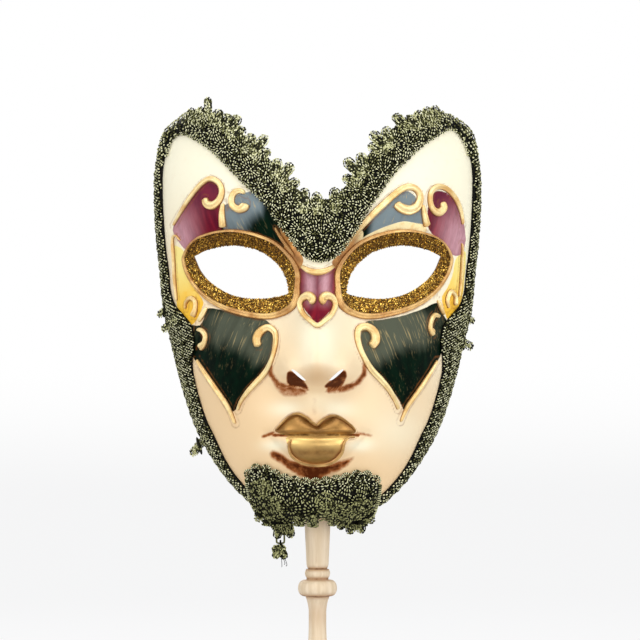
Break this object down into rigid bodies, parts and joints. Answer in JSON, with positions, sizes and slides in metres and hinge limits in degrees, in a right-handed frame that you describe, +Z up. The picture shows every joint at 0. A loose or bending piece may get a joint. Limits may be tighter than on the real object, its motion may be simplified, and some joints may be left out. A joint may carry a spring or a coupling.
{
  "type": "venetian masquerade mask",
  "caption": "Moulded full-face masquerade mask with open eyes, gilded scrollwork, glitter eye bands and beaded lace edging, carried on a turned wooden stick.",
  "frame": {"origin": "on the stick's axis at the lower end of the straight grip", "axes": "+Z up along the stick to the mask, the face looks along -Y, +X to the viewer's right"},
  "size_m": [0.1722, 0.0843, 0.4036],
  "materials": {
    "papier_mache": "painted and varnished, satin",
    "gold_glitter": "coarse glitter",
    "gilded_relief": "gold paint over relief paste",
    "lace": "beaded guipure lace",
    "wood": "turned, lightly whitewashed"
  },
  "bodies": {
    "mask": {"mask_shell": "papier_mache", "left_eye_glitter": "gold_glitter", "right_eye_glitter": "gold_glitter", "left_eye_rim": "gilded_relief", "right_eye_rim": "gilded_relief", "left_temple_scroll": "gilded_relief", "right_temple_scroll": "gilded_relief", "left_brow_scroll": "gilded_relief", "right_brow_scroll": "gilded_relief", "left_brow_line": "gilded_relief", "left_divider_bar": "gilded_relief", "right_divider_bar": "gilded_relief", "left_temple_line": "gilded_relief", "right_temple_line": "gilded_relief", "left_temple_leaf": "gilded_relief", "right_temple_leaf": "gilded_relief", "left_temple_stem": "gilded_relief", "right_temple_stem": "gilded_relief", "left_cheek_curl": "gilded_relief", "right_cheek_curl": "gilded_relief", "left_cheek_line": "gilded_relief", "right_cheek_line": "gilded_relief", "left_cheek_scroll": "gilded_relief", "right_cheek_scroll": "gilded_relief", "nose_bar": "gilded_relief", "nose_heart": "gilded_relief", "upper_lip_rim": "gilded_relief", "lower_lip_rim": "gilded_relief", "left_brow_lace": "lace", "right_brow_lace": "lace", "left_edge_braid": "lace", "right_edge_braid": "lace", "chin_lace": "lace", "tail_loop": "lace", "turned_stick": "wood", "socket_block": "wood"},
    "tail": {"lace_tail": "lace"}
  },
  "joints": [
    {"name": "tail_swing", "type": "hinge", "parent": "mask", "child": "tail", "pos_m": [-0.01932, -0.00344, 0.16783], "axis": [1, 0, 0], "range_deg": [-50, 50]}
  ]
}
